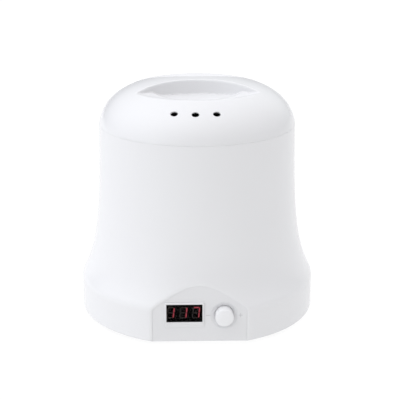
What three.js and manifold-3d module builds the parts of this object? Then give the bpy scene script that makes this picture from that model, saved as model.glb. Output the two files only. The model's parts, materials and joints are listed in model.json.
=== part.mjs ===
// A round electric wax bath: a flared plastic housing with a flat control face, a domed lift-off lid
// with a blade handle, and a heated aluminium well that holds a removable pot with a bail.
// Millimetres, +Z up, -Y is the front. The origin is the centre of the footprint on the worktop.

import * as THREE from "three";
import { mergeVertices } from "three/addons/utils/BufferGeometryUtils.js";
import Module from "manifold-3d";

const wasm = await Module();
wasm.setup();

// ---- Driving dimensions ----

const ROUND = 36; // facets of the large turned pieces
const GAP = 0.3; // clearance between pieces that touch

// Housing
const BASE_R = 100; // straight foot band
const NECK_R = 82.5; // radius that the flare settles to
const SHELL_Z = 4.8; // lower edge of the housing, lifted by the feet
const RIDGE_Z = 32; // top of the foot band, where the flare starts
const FLARE_LENGTH = 31.5; // height in which the flare loses 63% of its reach
const RIM_Z = 164; // top edge of the housing
const WALL = 2.6;
const FRONT_FLAT_Y = -91.5; // plane of the control face
const REAR_FLAT_Y = 97.4; // small flat that carries the mains inlet
const LEDGE_Z = 157.5; // step inside the rim that carries the well
const LEDGE_T = 2.5;
const LEDGE_R = 70.8;
const RECESS_R = 78.8;

// Lid
const LID_Z = 164.5;
const DOME_R = 83.5; // superellipse of the dome
const DOME_POWER = 2.6;
const DOME_CENTRE_Z = -10.9; // below the lid's lower edge
const DOME_H = 48.3;
const DISH_Z = 25.5; // floor of the finger dish, above the lid's lower edge
const DISH_R = 47; // the dish itself
const DISH_SQUASH = 0.83; // its width over its depth
const SHOULDER_Z = 28.8; // shallow step round the dish
const SHOULDER_R = 55; // where the step runs out into the dome
const SHOULDER_STRETCH = 1.08; // its width over its depth
const HANDLE_HALF_T = 7.5; // half the handle's thickness at its middle
const HANDLE_FACE_R = 75; // plan radius of its hollowed faces
const HANDLE_HALF_L = 56;
const LID_WALL = 2.7;
const VENT_R = 2.9;
const VENT_AT_R = 70.6;
const VENT_AT_Z = 21.5;
const VENT_STEP = 13.8; // degrees between neighbouring vents
const VENT_SLOPE = 50; // degrees that a vent's axis rises

// Well and pot
const WELL_R = 69;
const WELL_BOTTOM_Z = 62;
const SHEET_T = 1.4; // thickness of the drawn aluminium
const POT_R = 65.8;
const POT_BOTTOM_Z = 66;
const POT_RIM_Z = 159.7;
const POT_RIM_R = 73;
const POT_T = 1.2;
const BAIL_WIRE_R = 1.5;
const BAIL_R = 67.5;
const PIVOT_Z = 165.5;
const EAR_X = 70.6; // middle of the ear's upright tab

// Control face
const WINDOW = { x: -12.2, z: 28, w: 29.1, h: 15.2 };
const KNOB_X = 20;
const KNOB_Z = 25.8;
const KNOB_R = 7.45;
const KNOB_WELL_R = 8.1;
const KNOB_DISH_R = 11.6; // shallow dish that leads down to the knob's well
const KNOB_FRONT_Y = -98;
const PANEL_FRONT_Y = FRONT_FLAT_Y + 0.3;
const PANEL_BACK_Y = -87.2;
const LENS_FRONT_Y = -89.9; // front of the lens's flange
const LENS_FACE_Y = -91.9; // front of the block that fills the window
const CUP_FLOOR_Y = -82.5;
const CUP_BACK_Y = -81;
const BOARD_Y = -74.5; // front face of the control board
const BOARD_T = 1.6;

// Under the well
const PLATE_Z = 5.8; // underside of the bottom plate
const PLATE_TOP = 8.2;
const POWER_BOARD_Z = 16.8;
const CLAMP_Z = 55.6;
const CLAMP_T = 1.5;
const CLAMP_R = 58;
const HEATER_R = 52;
const POST_AT_R = 50;
const POST_R = 4;
const BASE_SCREW_AT_R = 92;
const FOOT_AT = 55.2;
const INLET_Z = 19.8;

const radians = THREE.MathUtils.degToRad;

// ---- Solids ----

// A closed three.js geometry as a manifold solid that faces out.
function solidOf(geometry) {
  const plain = geometry.index ? geometry.toNonIndexed() : geometry.clone();
  plain.deleteAttribute("normal");
  plain.deleteAttribute("uv");
  const merged = mergeVertices(plain, 1e-4);
  const points = merged.attributes.position.array;
  const triangles = [];
  let volume = 0;
  const [a, b, c] = [new THREE.Vector3(), new THREE.Vector3(), new THREE.Vector3()];
  for (let i = 0; i < merged.index.count; i += 3) {
    const [p, q, r] = merged.index.array.slice(i, i + 3);
    if (p === q || q === r || r === p) continue;
    triangles.push(p, q, r);
    a.fromArray(points, p * 3);
    b.fromArray(points, q * 3);
    c.fromArray(points, r * 3);
    volume += a.dot(b.cross(c));
  }
  if (volume < 0) triangles.reverse();
  const mesh = new wasm.Mesh({
    numProp: 3,
    vertProperties: points,
    triVerts: new Uint32Array(triangles),
  });
  return new wasm.Manifold(mesh);
}

function geometryOf(solid) {
  const mesh = solid.getMesh();
  const points = new Float32Array(mesh.numVert * 3);
  for (let i = 0; i < mesh.numVert; i++) {
    points.set(mesh.vertProperties.subarray(i * mesh.numProp, i * mesh.numProp + 3), i * 3);
  }
  const geometry = new THREE.BufferGeometry();
  geometry.setAttribute("position", new THREE.BufferAttribute(points, 3));
  geometry.setIndex(new THREE.BufferAttribute(mesh.triVerts, 1));
  geometry.computeVertexNormals();
  return geometry;
}

const union = (first, ...rest) => rest.reduce((sum, solid) => sum.add(solid), first);
const cut = (first, ...rest) => rest.reduce((left, solid) => left.subtract(solid), first);

// A solid of revolution about Z, from [radius, height] points.
function turned(profile, facets = ROUND) {
  const points = profile.map(([r, z]) => new THREE.Vector2(r, z));
  return solidOf(new THREE.LatheGeometry(points, facets).rotateX(Math.PI / 2));
}

const drum = (r, z0, z1, facets = ROUND) => turned([[0, z0], [r, z0], [r, z1], [0, z1]], facets);

const ring = (r0, r1, z0, z1, facets = ROUND) =>
  turned([[r0, z0], [r1, z0], [r1, z1], [r0, z1], [r0, z0]], facets);

function block([x0, x1], [y0, y1], [z0, z1]) {
  const box = new THREE.BoxGeometry(x1 - x0, y1 - y0, z1 - z0);
  return solidOf(box.translate((x0 + x1) / 2, (y0 + y1) / 2, (z0 + z1) / 2));
}

// A round rod along Y or X.
const rodY = (r, y0, y1, x = 0, z = 0, facets = 12) =>
  solidOf(new THREE.CylinderGeometry(r, r, y1 - y0, facets).translate(x, (y0 + y1) / 2, z));

const rodX = (r, x0, x1, y = 0, z = 0, facets = 12) =>
  solidOf(
    new THREE.CylinderGeometry(r, r, x1 - x0, facets)
      .rotateZ(Math.PI / 2)
      .translate((x0 + x1) / 2, y, z),
  );

function extruded(outline, depth) {
  const shape = new THREE.Shape(outline.map(([u, v]) => new THREE.Vector2(u, v)));
  return new THREE.ExtrudeGeometry(shape, { depth, bevelEnabled: false });
}

// Outlines in plan, swept up Z; in elevation (x, z), swept along Y; in side view (y, z), swept along X.
const prismZ = (outline, z0, z1) => solidOf(extruded(outline, z1 - z0).translate(0, 0, z0));
const prismY = (outline, y0, y1) =>
  solidOf(extruded(outline, y1 - y0).rotateX(Math.PI / 2).translate(0, y1, 0));
const prismX = (outline, x0, x1) =>
  solidOf(extruded(outline, x1 - x0).rotateX(Math.PI / 2).rotateZ(Math.PI / 2).translate(x0, 0, 0));

// A round wire along a smooth curve through points.
function wire(points, r, steps, sides = 6) {
  const section = new THREE.Shape();
  section.absarc(0, 0, r, 0, Math.PI * 2);
  const path = new THREE.CatmullRomCurve3(points.map((p) => new THREE.Vector3(...p)), false, "centripetal");
  const options = { steps, extrudePath: path, curveSegments: sides / 2, bevelEnabled: false };
  return solidOf(new THREE.ExtrudeGeometry(section, options));
}

const around = (count, first, use) =>
  Array.from({ length: count }, (_, i) => {
    const angle = radians(first + (i * 360) / count);
    return use(Math.cos(angle), Math.sin(angle), i);
  });

const circleOfSpots = (count, first, r) => around(count, first, (c, s) => [r * c, r * s]);
const cornerSpots = (x, y) => [[-x, -y], [x, -y], [x, y], [-x, y]];
const atEach = (spots, make) => spots.map(([x, y]) => make().translate(x, y, 0));

const baseScrewSpots = circleOfSpots(4, 40, BASE_SCREW_AT_R);
const postSpots = circleOfSpots(3, 30, POST_AT_R);
const footSpots = cornerSpots(FOOT_AT, FOOT_AT);
const powerBoardSpots = cornerSpots(32, 34);

// ---- Housing ----

function flareRadius(z) {
  if (z <= RIDGE_Z) return BASE_R;
  return NECK_R + (BASE_R - NECK_R) * Math.exp((RIDGE_Z - z) / FLARE_LENGTH);
}

// Points up the flare, closer together where it curves most.
function flareProfile(topZ, inset) {
  const steps = 7;
  return Array.from({ length: steps + 1 }, (_, i) => {
    const z = RIDGE_Z + (topZ - RIDGE_Z) * (i / steps) ** 1.5;
    return [flareRadius(z) - inset, z];
  });
}

const slab = (y0, y1) => block([-BASE_R * 2, BASE_R * 2], [y0, y1], [-BASE_R, BASE_R * 3]);

// The arch where the front plane cuts the flared housing, drawn in by inset on every side but the bottom.
function archOutline(inset, bottomZ = SHELL_Z) {
  const halfWidth = Math.sqrt(BASE_R ** 2 - FRONT_FLAT_Y ** 2);
  const apexZ = RIDGE_Z + FLARE_LENGTH * Math.log((BASE_R - NECK_R) / (-FRONT_FLAT_Y - NECK_R));
  const scaleX = 1 - inset / halfWidth;
  const scaleZ = 1 - inset / (apexZ - SHELL_Z);
  const steps = 7;
  const right = Array.from({ length: steps + 1 }, (_, i) => {
    const z = RIDGE_Z + (apexZ - RIDGE_Z) * Math.sin(((i / steps) * Math.PI) / 2);
    const x = i === steps ? 0 : Math.sqrt(flareRadius(z) ** 2 - FRONT_FLAT_Y ** 2);
    return [x * scaleX, SHELL_Z + (z - SHELL_Z) * scaleZ];
  });
  const left = right.slice(0, -1).reverse().map(([x, z]) => [-x, z]);
  const foot = halfWidth * scaleX;
  return [[-foot, bottomZ], [foot, bottomZ], ...right, ...left];
}

function outerShell() {
  const bevel = 1;
  const outside = turned([
    [0, SHELL_Z],
    [BASE_R - bevel, SHELL_Z],
    [BASE_R, SHELL_Z + bevel],
    ...flareProfile(RIM_Z - bevel, 0),
    [NECK_R - bevel, RIM_Z],
    [0, RIM_Z],
  ]).intersect(slab(FRONT_FLAT_Y, REAR_FLAT_Y));
  const inside = turned([
    [0, -SHELL_Z],
    [BASE_R - WALL, -SHELL_Z],
    ...flareProfile(LEDGE_Z - LEDGE_T, WALL),
    [0, LEDGE_Z - LEDGE_T],
  ]).intersect(slab(FRONT_FLAT_Y + WALL, REAR_FLAT_Y - WALL));
  const bossTop = 30;
  const bosses = atEach(baseScrewSpots, () => drum(5.8, PLATE_TOP + GAP, bossTop, 16));
  const screwHoles = atEach(baseScrewSpots, () => drum(2, 0, bossTop - 8, 12));
  const panelOpening = prismY(archOutline(1.9, -SHELL_Z), FRONT_FLAT_Y - 1, FRONT_FLAT_Y + WALL + 1);
  const inletY = [REAR_FLAT_Y - WALL - 1, REAR_FLAT_Y + 1];
  const inletOpening = block([-13.8, 13.8], inletY, [INLET_Z - 10.2, INLET_Z + 10.2]);
  return cut(
    union(outside.subtract(inside), ...bosses),
    drum(LEDGE_R, LEDGE_Z - LEDGE_T - 1, RIM_Z + 1),
    drum(RECESS_R, LEDGE_Z, RIM_Z + 1),
    panelOpening,
    inletOpening,
    ...screwHoles,
  );
}

function bottomPlate() {
  const span = slab(PANEL_BACK_Y + GAP, REAR_FLAT_Y - WALL - 0.4);
  const disc = drum(BASE_R - WALL - 0.5, PLATE_Z, PLATE_TOP).intersect(span);
  const standoffs = atEach(powerBoardSpots, () => drum(3, PLATE_TOP - 0.1, POWER_BOARD_Z - GAP, 12));
  const sockets = atEach(postSpots, () => drum(POST_R + 2, PLATE_TOP - 0.1, PLATE_TOP + 4, 16));
  const headTop = PLATE_Z + 1.5;
  const countersunk = [[0, 0], [4, 0], [4, headTop], [2, headTop], [2, PLATE_TOP + 1], [0, PLATE_TOP + 1]];
  const slotStep = 12;
  const airSlots = [-2.5, -1.5, -0.5, 0.5, 1.5, 2.5].map((n) =>
    block([n * slotStep - 1.8, n * slotStep + 1.8], [-14, 14], [0, PLATE_TOP + 1]),
  );
  return cut(
    union(disc, ...standoffs, ...sockets),
    ...atEach(powerBoardSpots, () => drum(1.5, PLATE_TOP + 1, POWER_BOARD_Z + 1, 8)),
    ...atEach(postSpots, () => drum(POST_R + GAP, PLATE_TOP, PLATE_TOP + 5, 16)),
    ...atEach(baseScrewSpots, () => turned(countersunk, 12)),
    ...atEach(footSpots, () => drum(3.2, 0, PLATE_TOP + 1, 12)),
    ...airSlots,
  );
}

// A rubber foot: a pad under the plate and a barbed spigot through it.
function foot() {
  const under = PLATE_Z - GAP;
  const top = PLATE_TOP + GAP;
  return turned(
    [[0, 0], [8.2, 0], [9, 0.8], [9, under], [2.9, under], [2.9, top], [4, top], [3, top + 2], [0, top + 2]],
    12,
  );
}

// A pan-head screw that points up, with its head's underside at z = 0.
function screw(headR, headH, shankR, shankL) {
  const head = [[0, -headH], [headR * 0.8, -headH], [headR, -headH * 0.5], [headR, 0]];
  return turned([...head, [shankR, 0], [shankR, shankL], [0, shankL]], 10);
}

// ---- Lid ----

// Points over the dome from its lower edge to the axis.
function domeProfile(inset) {
  const [r, h] = [DOME_R - inset, DOME_H - inset];
  const steps = 9;
  const start = Math.asin((-DOME_CENTRE_Z / h) ** (DOME_POWER / 2));
  return Array.from({ length: steps + 1 }, (_, i) => {
    const t = start + ((Math.PI / 2 - start) * i) / steps;
    const x = i === steps ? 0 : r * Math.cos(t) ** (2 / DOME_POWER);
    return [x, DOME_CENTRE_Z + h * Math.sin(t) ** (2 / DOME_POWER)];
  });
}

// The bowl and the shallow step round it that are scooped from the top of the dome, grown by margin.
function dishPlug(margin) {
  const bowl = turned([
    [0, DISH_Z - margin],
    [DISH_R - 10 + margin, DISH_Z - margin],
    [DISH_R - 5 + margin, DISH_Z + 1.2 - margin],
    [DISH_R + margin, SHOULDER_Z + 0.4 - margin],
    [DISH_R + margin, DOME_H + 3],
    [0, DOME_H + 3],
  ]).scale([DISH_SQUASH, 1, 1]);
  const step = turned([
    [0, SHOULDER_Z - margin],
    [SHOULDER_R - 6 + margin, SHOULDER_Z - margin],
    [SHOULDER_R + margin, SHOULDER_Z + 2.3 - margin],
    [SHOULDER_R + 6 + margin, SHOULDER_Z + 12.7],
    [SHOULDER_R + 6 + margin, DOME_H + 3],
    [0, DOME_H + 3],
  ]).scale([SHOULDER_STRETCH, 1, 1]);
  return union(bowl, step);
}

// The handle's sides: a blade with hollowed front and back faces, drawn in by inset.
function handleBlade(inset, bottomZ) {
  const steps = 8;
  const halfL = HANDLE_HALF_L - inset;
  const front = Array.from({ length: steps + 1 }, (_, i) => {
    const x = halfL * ((2 * i) / steps - 1);
    return [x, -(HANDLE_HALF_T - inset) - x ** 2 / (2 * HANDLE_FACE_R)];
  });
  const back = front.map(([x, y]) => [-x, -y]);
  return prismZ([...front, ...back], bottomZ, DOME_H);
}

function vents() {
  const rise = radians(VENT_SLOPE);
  const angles = [-90, 90].flatMap((middle) => [-1, 0, 1].map((n) => radians(middle + n * VENT_STEP)));
  return angles.map((angle) =>
    solidOf(
      new THREE.CylinderGeometry(VENT_R, VENT_R, 16, 8)
        .rotateZ(-Math.PI / 2)
        .rotateY(-rise)
        .translate(VENT_AT_R, 0, VENT_AT_Z)
        .rotateZ(angle),
    ),
  );
}

function lidShell() {
  const dome = turned([[0, 0], ...domeProfile(0)]);
  const outside = union(dome.subtract(dishPlug(0)), dome.intersect(handleBlade(0, DISH_Z - 2)));
  const inner = domeProfile(LID_WALL);
  const chamber = turned([[0, -5], [inner[0][0], -5], ...inner]);
  const underHandle = chamber.intersect(handleBlade(LID_WALL, DISH_Z - 12));
  const hollow = union(chamber.subtract(dishPlug(LID_WALL)), underHandle);
  const rimTop = 2.7;
  const skirtDrop = 4.6;
  const [skirtIn, skirtOut] = [75.6, 78.2];
  const rim = turned([
    [skirtIn, -skirtDrop],
    [skirtOut, -skirtDrop],
    [skirtOut, 0],
    [DOME_R - 1.5, 0],
    [DOME_R - 1.5, rimTop],
    [skirtIn, rimTop],
    [skirtIn, -skirtDrop],
  ]);
  return cut(union(outside.subtract(hollow), rim), ...vents());
}

// ---- Well, pot and bail ----

// A drawn cup with a flange, from its outside radius, wall and heights.
function flangedCup(r, wall, bottomZ, flangeZ, flangeR, facets = ROUND) {
  const corner = 4;
  return turned(
    [
      [0, bottomZ],
      [r - corner, bottomZ],
      [r, bottomZ + corner],
      [r, flangeZ],
      [flangeR, flangeZ],
      [flangeR, flangeZ + wall],
      [r - wall, flangeZ + wall],
      [r - wall, bottomZ + corner + wall * 0.4],
      [r - corner - wall * 0.4, bottomZ + wall],
      [0, bottomZ + wall],
    ],
    facets,
  );
}

// An ear that is riveted to the pot's rim, with a hole for the bail's end. Its foot starts at z = 0.
function potEar(side) {
  const pivot = PIVOT_Z - POT_RIM_Z - POT_T - GAP;
  const [inX, outX] = [EAR_X - 0.6, EAR_X + 0.6];
  const foot = block([inX - 3.4, outX], [-6, 6], [0, 1.2]);
  const tab = union(block([inX, outX], [-4.2, 4.2], [0.5, pivot]), rodX(4.2, inX, outX, 0, pivot, 16));
  const ear = cut(union(foot, tab), rodX(BAIL_WIRE_R + 0.4, inX - 1, outX + 1, 0, pivot, 16));
  return side > 0 ? ear : ear.mirror([1, 0, 0]);
}

// The bail: a half circle of wire behind its pivot axis, with both ends turned out through the ears.
function bail() {
  const steps = 12;
  const arc = Array.from({ length: steps + 1 }, (_, i) => {
    const angle = (Math.PI * i) / steps;
    return [BAIL_R * Math.cos(angle), BAIL_R * Math.sin(angle), 0];
  });
  const [inX, outX] = [BAIL_R - 0.9, EAR_X + 3];
  const ends = [rodX(BAIL_WIRE_R, inX, outX), rodX(BAIL_WIRE_R, -outX, -inX)];
  return union(wire(arc, BAIL_WIRE_R, 28, 8), ...ends);
}

// ---- Control face ----

const boardBosses = [[-32, 12.3], [32, 12.3], [20, 43], [-20, 43]];

// A block of the display window's outline, grown by margin.
function windowBlock(margin, yRange) {
  const { x, z, w, h } = WINDOW;
  const [halfW, halfH] = [w / 2 + margin, h / 2 + margin];
  return block([x - halfW, x + halfW], yRange, [z - halfH, z + halfH]);
}

// The raised frame round the window, with a chin that slopes back under it.
function windowFrame() {
  const { x, z, w, h } = WINDOW;
  const [backY, frontY] = [PANEL_FRONT_Y + 0.5, PANEL_FRONT_Y - 1.2];
  const [topZ, lipZ, chinZ] = [z + h / 2 + 1.6, z - h / 2 - 2.1, z - h / 2 - 4.8];
  const side = [[backY, topZ], [frontY, topZ], [frontY, lipZ], [PANEL_FRONT_Y, chinZ], [backY, chinZ]];
  return prismX(side, x - w / 2 - 1.6, x + w / 2 + 1.6);
}

// The lens: a flange behind the panel, and a block that fills the window.
function displayLens() {
  const flange = windowBlock(1, [LENS_FRONT_Y, LENS_FRONT_Y + 1.5]);
  return union(flange, windowBlock(-GAP, [LENS_FACE_Y, LENS_FRONT_Y + 0.5]));
}

// The open space round the knob: a shallow dish in the panel, and a straight well below it.
function knobRecess() {
  const depth = CUP_FLOOR_Y - PANEL_FRONT_Y;
  const profile = [
    [0, -depth],
    [KNOB_WELL_R, -depth],
    [KNOB_WELL_R, -2.4],
    [KNOB_WELL_R + 0.7, -1.3],
    [KNOB_WELL_R + 1.8, -0.5],
    [KNOB_DISH_R, 0],
    [KNOB_DISH_R, 1],
    [0, 1],
  ];
  return turned(profile, 24).rotate([90, 0, 0]).translate(KNOB_X, PANEL_FRONT_Y, KNOB_Z);
}

function controlPanel() {
  const plate = prismY(archOutline(2.2), PANEL_FRONT_Y, PANEL_BACK_Y);
  const flange = prismY(archOutline(1.3), FRONT_FLAT_Y + WALL + GAP, PANEL_BACK_Y);
  const sight = windowBlock(0, [PANEL_FRONT_Y - 2, PANEL_BACK_Y + 1]);
  const rebate = windowBlock(1.3, [LENS_FRONT_Y - GAP, PANEL_BACK_Y + 1]);
  const cup = rodY(KNOB_WELL_R + 1.5, PANEL_BACK_Y - 0.5, CUP_BACK_Y, KNOB_X, KNOB_Z, 24);
  const knobWell = knobRecess();
  const bushHole = rodY(3.9, CUP_FLOOR_Y - 1, CUP_BACK_Y + 1, KNOB_X, KNOB_Z, 16);
  const bosses = boardBosses.map(([bx, bz]) => rodY(2.6, PANEL_BACK_Y - 0.5, BOARD_Y - GAP, bx, bz, 12));
  const bossHoles = boardBosses.map(([bx, bz]) => rodY(1.3, PANEL_BACK_Y + 2, BOARD_Y, bx, bz, 8));
  const solid = union(plate, flange, windowFrame(), cup, ...bosses);
  return cut(solid, sight, rebate, knobWell, bushHole, ...bossHoles);
}

function controlBoard() {
  const plate = block([-36, 36], [BOARD_Y, BOARD_Y + BOARD_T], [9, 47.5]);
  return cut(plate, ...boardBosses.map(([x, z]) => rodY(1.6, BOARD_Y - 1, BOARD_Y + 3, x, z, 8)));
}

// The rotary encoder's housing and bush, on the knob's axis, bored right through for its shaft and plunger.
function encoderBody() {
  const housing = block([-6.25, 6.25], [CUP_BACK_Y + GAP, BOARD_Y - GAP], [-6.75, 6.75]);
  const bush = rodY(3.5, CUP_FLOOR_Y - 0.1, CUP_BACK_Y + 1, 0, 0, 16);
  return cut(union(housing, bush), rodY(3.3 / Math.cos(Math.PI / 16), -90, -70, 0, 0, 16));
}

// The knob: a smooth domed button with a blind bore for the shaft, on its own axis.
function controlKnob() {
  const rear = CUP_FLOOR_Y - 1.1;
  const length = rear - KNOB_FRONT_Y;
  const bore = 9.5;
  const profile = [
    [3.4, 0],
    [KNOB_R - 0.2, 0],
    [KNOB_R, 1],
    [KNOB_R, length - 2.6],
    [KNOB_R - 0.5, length - 1.5],
    [KNOB_R - 1.5, length - 0.8],
    [KNOB_R * 0.5, length - 0.15],
    [0, length],
    [0, bore],
    [3.4, bore],
    [3.4, 0],
  ];
  const points = profile.map(([r, along]) => new THREE.Vector2(r, -along));
  return solidOf(new THREE.LatheGeometry(points, 24).translate(0, rear, 0));
}

// ---- Mains inlet ----

// The socket's mouth in elevation: a box with its two upper corners cut off.
const mouth = [[-12.2, -8.3], [12.2, -8.3], [12.2, 3], [7, 8.3], [-7, 8.3], [-12.2, 3]];
const inletPins = { live: [-7, -1.5], neutral: [7, -1.5], earth: [0, 2.5] };
const INLET_FACE_Y = REAR_FLAT_Y + GAP + 1.8;

function inletSocket() {
  const body = block([-13.5, 13.5], [76, REAR_FLAT_Y + 1], [-9.9, 9.9]);
  const flange = block([-15.4, 15.4], [REAR_FLAT_Y + GAP, INLET_FACE_Y], [-11.9, 11.9]);
  const cavity = prismY(mouth, 81, INLET_FACE_Y + 1);
  const slots = Object.values(inletPins).map(([x, z]) =>
    block([x - 1.3, x + 1.3], [75, 82], [z - 2.3, z + 2.3]),
  );
  return cut(union(body, flange), cavity, ...slots);
}

// ---- Assembly ----

function material(color, roughness, metalness = 0, extra = {}) {
  return new THREE.MeshStandardMaterial({ color, roughness, metalness, ...extra });
}

const finish = {
  housing: material(0xf3f4f8, 0.28),
  panel: material(0xe9eaee, 0.34),
  knob: material(0xf6f7f9, 0.3),
  lens: material(0x20242a, 0.06, 0, { transparent: true, opacity: 0.35 }),
  black: material(0x0c0c0d, 0.5),
  aluminium: material(0xc3c6ca, 0.32, 1),
  steel: material(0x9fa3a8, 0.35, 1),
  brass: material(0xc9a75c, 0.3, 1),
  rubber: material(0x2a2b2d, 0.85),
  board: material(0x1d6b3c, 0.5),
  blanket: material(0xe6dfc8, 0.95),
  red: material(0x9c2f22, 0.5),
  brown: material(0x5a3520, 0.5),
  blue: material(0x2c55a8, 0.5),
  green: material(0x4f9a35, 0.5),
  grey: material(0x8f9296, 0.5),
};

function add(parent, name, solid, surface, position = [0, 0, 0]) {
  const mesh = new THREE.Mesh(geometryOf(solid), surface);
  mesh.name = name;
  mesh.position.set(...position);
  parent.add(mesh);
  return mesh;
}

function group(parent, position = [0, 0, 0]) {
  const made = new THREE.Group();
  made.position.set(...position);
  parent.add(made);
  return made;
}

function buildHousing(root) {
  const housing = group(root);
  add(housing, "outer_shell", outerShell(), finish.housing);
  add(housing, "bottom_plate", bottomPlate(), finish.panel);
  footSpots.forEach(([x, y], i) => add(housing, `foot_${i + 1}`, foot(), finish.rubber, [x, y, 0]));
  baseScrewSpots.forEach(([x, y], i) => {
    const place = [x, y, PLATE_Z + 1.5 - GAP];
    add(housing, `base_screw_${i + 1}`, screw(3.6, 1.1, 1.7, 14), finish.steel, place);
  });
}

function buildControls(root) {
  const controls = group(root);
  add(controls, "control_panel", controlPanel(), finish.panel);
  add(controls, "display_lens", displayLens(), finish.lens);
  const { x, z } = WINDOW;
  add(controls, "led_display", block([-15.1, 15.1], [-88.1, -80.9], [-8.2, 8.2]), finish.black, [x, 0, z]);
  add(controls, "display_spacer", block([-14, 14], [-80.6, BOARD_Y - GAP], [-6, 6]), finish.black, [x, 0, z]);
  add(controls, "control_board", controlBoard(), finish.board);
  boardBosses.forEach(([bx, bz], i) => {
    const made = add(controls, `board_screw_${i + 1}`, screw(2.5, 1.4, 1, 7), finish.steel);
    made.position.set(bx, BOARD_Y + BOARD_T + GAP, bz);
    made.rotation.x = Math.PI / 2;
  });
  const encoder = group(controls, [KNOB_X, 0, KNOB_Z]);
  add(encoder, "encoder_body", encoderBody(), finish.steel);
  add(encoder, "encoder_plunger", rodY(2.6, -77.6, -75.4), finish.black);
  const shaft = cut(rodY(3, -92.7, -77.9, 0, 0, 16), block([-4, 4], [-94, -86], [2, 4]));
  add(encoder, "encoder_shaft", shaft, finish.steel);
  add(encoder, "control_knob", controlKnob(), finish.knob);
}

function buildHeating(root) {
  const heating = group(root);
  const well = flangedCup(WELL_R, SHEET_T, WELL_BOTTOM_Z, LEDGE_Z + GAP, RECESS_R - 0.6);
  add(heating, "heating_well", well, finish.aluminium);
  const bandSplit = block([-90, -60], [-2, 2], [60, 140]);
  const band = cut(ring(WELL_R + GAP + 0.1, WELL_R + 2, 76, 126), bandSplit);
  add(heating, "band_heater", band, finish.steel);
  add(heating, "insulation_sleeve", ring(73.6, 77.2, 66, 150), finish.blanket);
  add(heating, "base_heater", drum(HEATER_R, CLAMP_Z + CLAMP_T + GAP, WELL_BOTTOM_Z - GAP), finish.steel);
  add(heating, "clamp_plate", drum(CLAMP_R, CLAMP_Z, CLAMP_Z + CLAMP_T), finish.steel);
  postSpots.forEach(([x, y], i) => {
    const post = drum(POST_R, PLATE_TOP + GAP, CLAMP_Z - GAP, 12);
    add(heating, `support_post_${i + 1}`, post, finish.steel, [x, y, 0]);
  });
  const probe = turned([[0, 0], [1.4, 0.3], [1.8, 1], [1.8, 19], [1.4, 20], [0, 20]], 10);
  add(heating, "temperature_sensor", probe, finish.steel, [0, -71.3, 128]);
  const cutout = union(drum(8, 0, 5.5, 20), drum(6, 5, 8, 20), block([-10.5, 10.5], [-3, 3], [5, 5.8]));
  add(heating, "thermal_cutout", cutout, finish.black, [24, -22, CLAMP_Z - GAP - 8]);
}

function buildPower(root) {
  const power = group(root, [0, 0, POWER_BOARD_Z]);
  const holes = atEach(powerBoardSpots, () => drum(1.6, -1, 3, 8));
  add(power, "power_board", cut(block([-36, 36], [-38, 38], [0, BOARD_T]), ...holes), finish.board);
  const deck = BOARD_T + GAP;
  add(power, "transformer", block([-30, -4], [-12, 12], [deck, deck + 22]), finish.black);
  add(power, "relay", block([6, 25], [-10, 5.5], [deck, deck + 15]), finish.black);
  add(power, "filter_capacitor", block([8, 26], [10, 18], [deck, deck + 11]), finish.blue);
  add(power, "terminal_block", block([-18, 18], [24, 34], [deck, deck + 10.5]), finish.green);
  powerBoardSpots.forEach(([x, y], i) => {
    const made = add(power, `power_screw_${i + 1}`, screw(2.5, 1.4, 1, 6.5), finish.steel, [x, y, deck]);
    made.rotation.x = Math.PI;
  });
}

function buildInlet(root) {
  const inlet = group(root, [0, 0, INLET_Z]);
  add(inlet, "inlet_socket", inletSocket(), finish.black);
  for (const [name, [x, z]] of Object.entries(inletPins)) {
    const pin = block([-1, 1], [70, INLET_FACE_Y - 4.9], [-2, 2]);
    add(inlet, `inlet_pin_${name}`, pin, finish.brass, [x, 0, z]);
  }
}

function buildWiring(root) {
  const wiring = group(root);
  const mains = (side) => [
    [side * 7, 69.6, 18.3],
    [side * 7, 62, 18.3],
    [side * 7.5, 48, 20.8],
    [side * 8, 34.4, 22.8],
  ];
  add(wiring, "mains_wire_live", wire(mains(-1), 1.1, 10), finish.brown);
  add(wiring, "mains_wire_neutral", wire(mains(1), 1.1, 10), finish.blue);
  const earth = [
    [0, 69.6, 22.3],
    [0, 63, 22.3],
    [12, 54, 26],
    [28, 46, 34],
    [36, 39, 42],
    [37.5, 37.5, CLAMP_Z - 2 * GAP],
  ];
  add(wiring, "earth_wire", wire(earth, 1.1, 14), finish.green);
  const heaterLead = (side) => [
    [side * 6, 70.9, 75.6],
    [side * 6, 70.9, 68],
    [side * 6.5, 67, 56],
    [side * 8, 54, 39],
    [side * 9, 42, 29.8],
    [side * 9, 34.4, 27.3],
  ];
  add(wiring, "heater_lead_left", wire(heaterLead(-1), 0.9, 14), finish.red);
  add(wiring, "heater_lead_right", wire(heaterLead(1), 0.9, 14), finish.red);
  const sensor = [
    [0, -71.3, 148.4],
    [0, -71.4, 150.4],
    [0, -74.5, 152.4],
    [0, -78.2, 151],
    [0, -78.9, 146],
    [0, -78.9, 120],
    [0, -78.9, 90],
    [0, -78.6, 66],
    [0, -76, 54],
    [0, -73.7, 48.3],
  ];
  add(wiring, "sensor_lead", wire(sensor, 0.6, 22), finish.grey);
  const sag = [[-72.5, 17.8], [-66, 15.8], [-54, 14.3], [-44, 15.2], [-38.4, 17.7]];
  const ribbonT = 0.9;
  const ribbon = [...sag, ...sag.map(([y, z]) => [y, z - ribbonT]).reverse()];
  add(wiring, "ribbon_cable", prismX(ribbon, -26, -14), finish.grey);
}

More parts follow.
